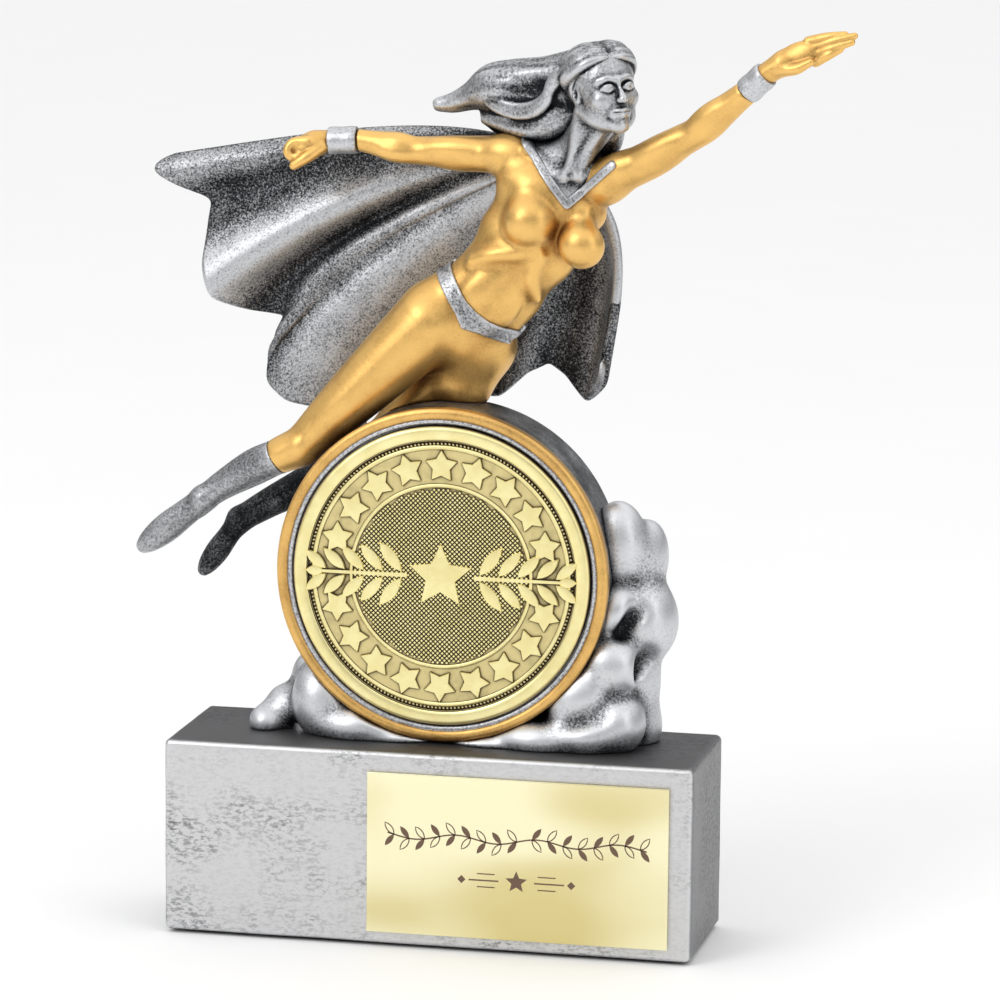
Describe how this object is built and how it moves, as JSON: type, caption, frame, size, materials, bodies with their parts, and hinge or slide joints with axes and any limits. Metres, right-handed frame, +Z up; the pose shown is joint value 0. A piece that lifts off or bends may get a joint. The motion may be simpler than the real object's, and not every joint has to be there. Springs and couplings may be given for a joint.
{
  "type": "figure trophy",
  "caption": "Caped flying figure in gold and antique silver over a round centre disc, on cloud work and a block base with an engraving plate.",
  "frame": {"origin": "middle of the underside of the base, on the surface that the trophy stands on", "axes": "+Z up, +X towards the figure's raised hand (the viewer's right), -Y the way the disc and the plate face"},
  "size_m": [0.1226, 0.0324, 0.1526],
  "materials": {
    "antique_silver": "cast resin with antique silver paint and a dark wash, satin",
    "silver_base": "cast resin with brushed silver paint, satin",
    "gold_paint": "cast resin with satin gold paint",
    "disc_brass": "stamped pale brass, dark patina in the recesses",
    "plate_brass": "polished",
    "steel": "plain",
    "adhesive": "double-sided foam and film tape",
    "pad": "thin black soft pad, matt"
  },
  "bodies": {
    "root": {"base_block": "silver_base", "base_pad": "pad", "base_screws": "steel", "engraving_plate": "plate_brass", "plate_adhesive": "adhesive", "cloud_mound": "antique_silver", "disc_holder": "antique_silver", "holder_rim": "gold_paint", "centre_disc": "disc_brass", "disc_adhesive": "adhesive", "holder_pins": "steel", "figure_body": "gold_paint", "head": "antique_silver", "hair": "antique_silver", "collar": "antique_silver", "belt": "antique_silver", "cape": "antique_silver", "right_arm": "gold_paint", "left_arm": "gold_paint", "right_hand": "gold_paint", "left_hand": "gold_paint", "right_cuff": "antique_silver", "left_cuff": "antique_silver", "right_boot": "antique_silver", "left_boot": "antique_silver", "neck_pin": "steel", "shoulder_pins": "steel", "wrist_pins": "steel", "boot_pins": "steel", "cape_pins": "steel", "mounting_pins": "steel"}
  },
  "joints": []
}
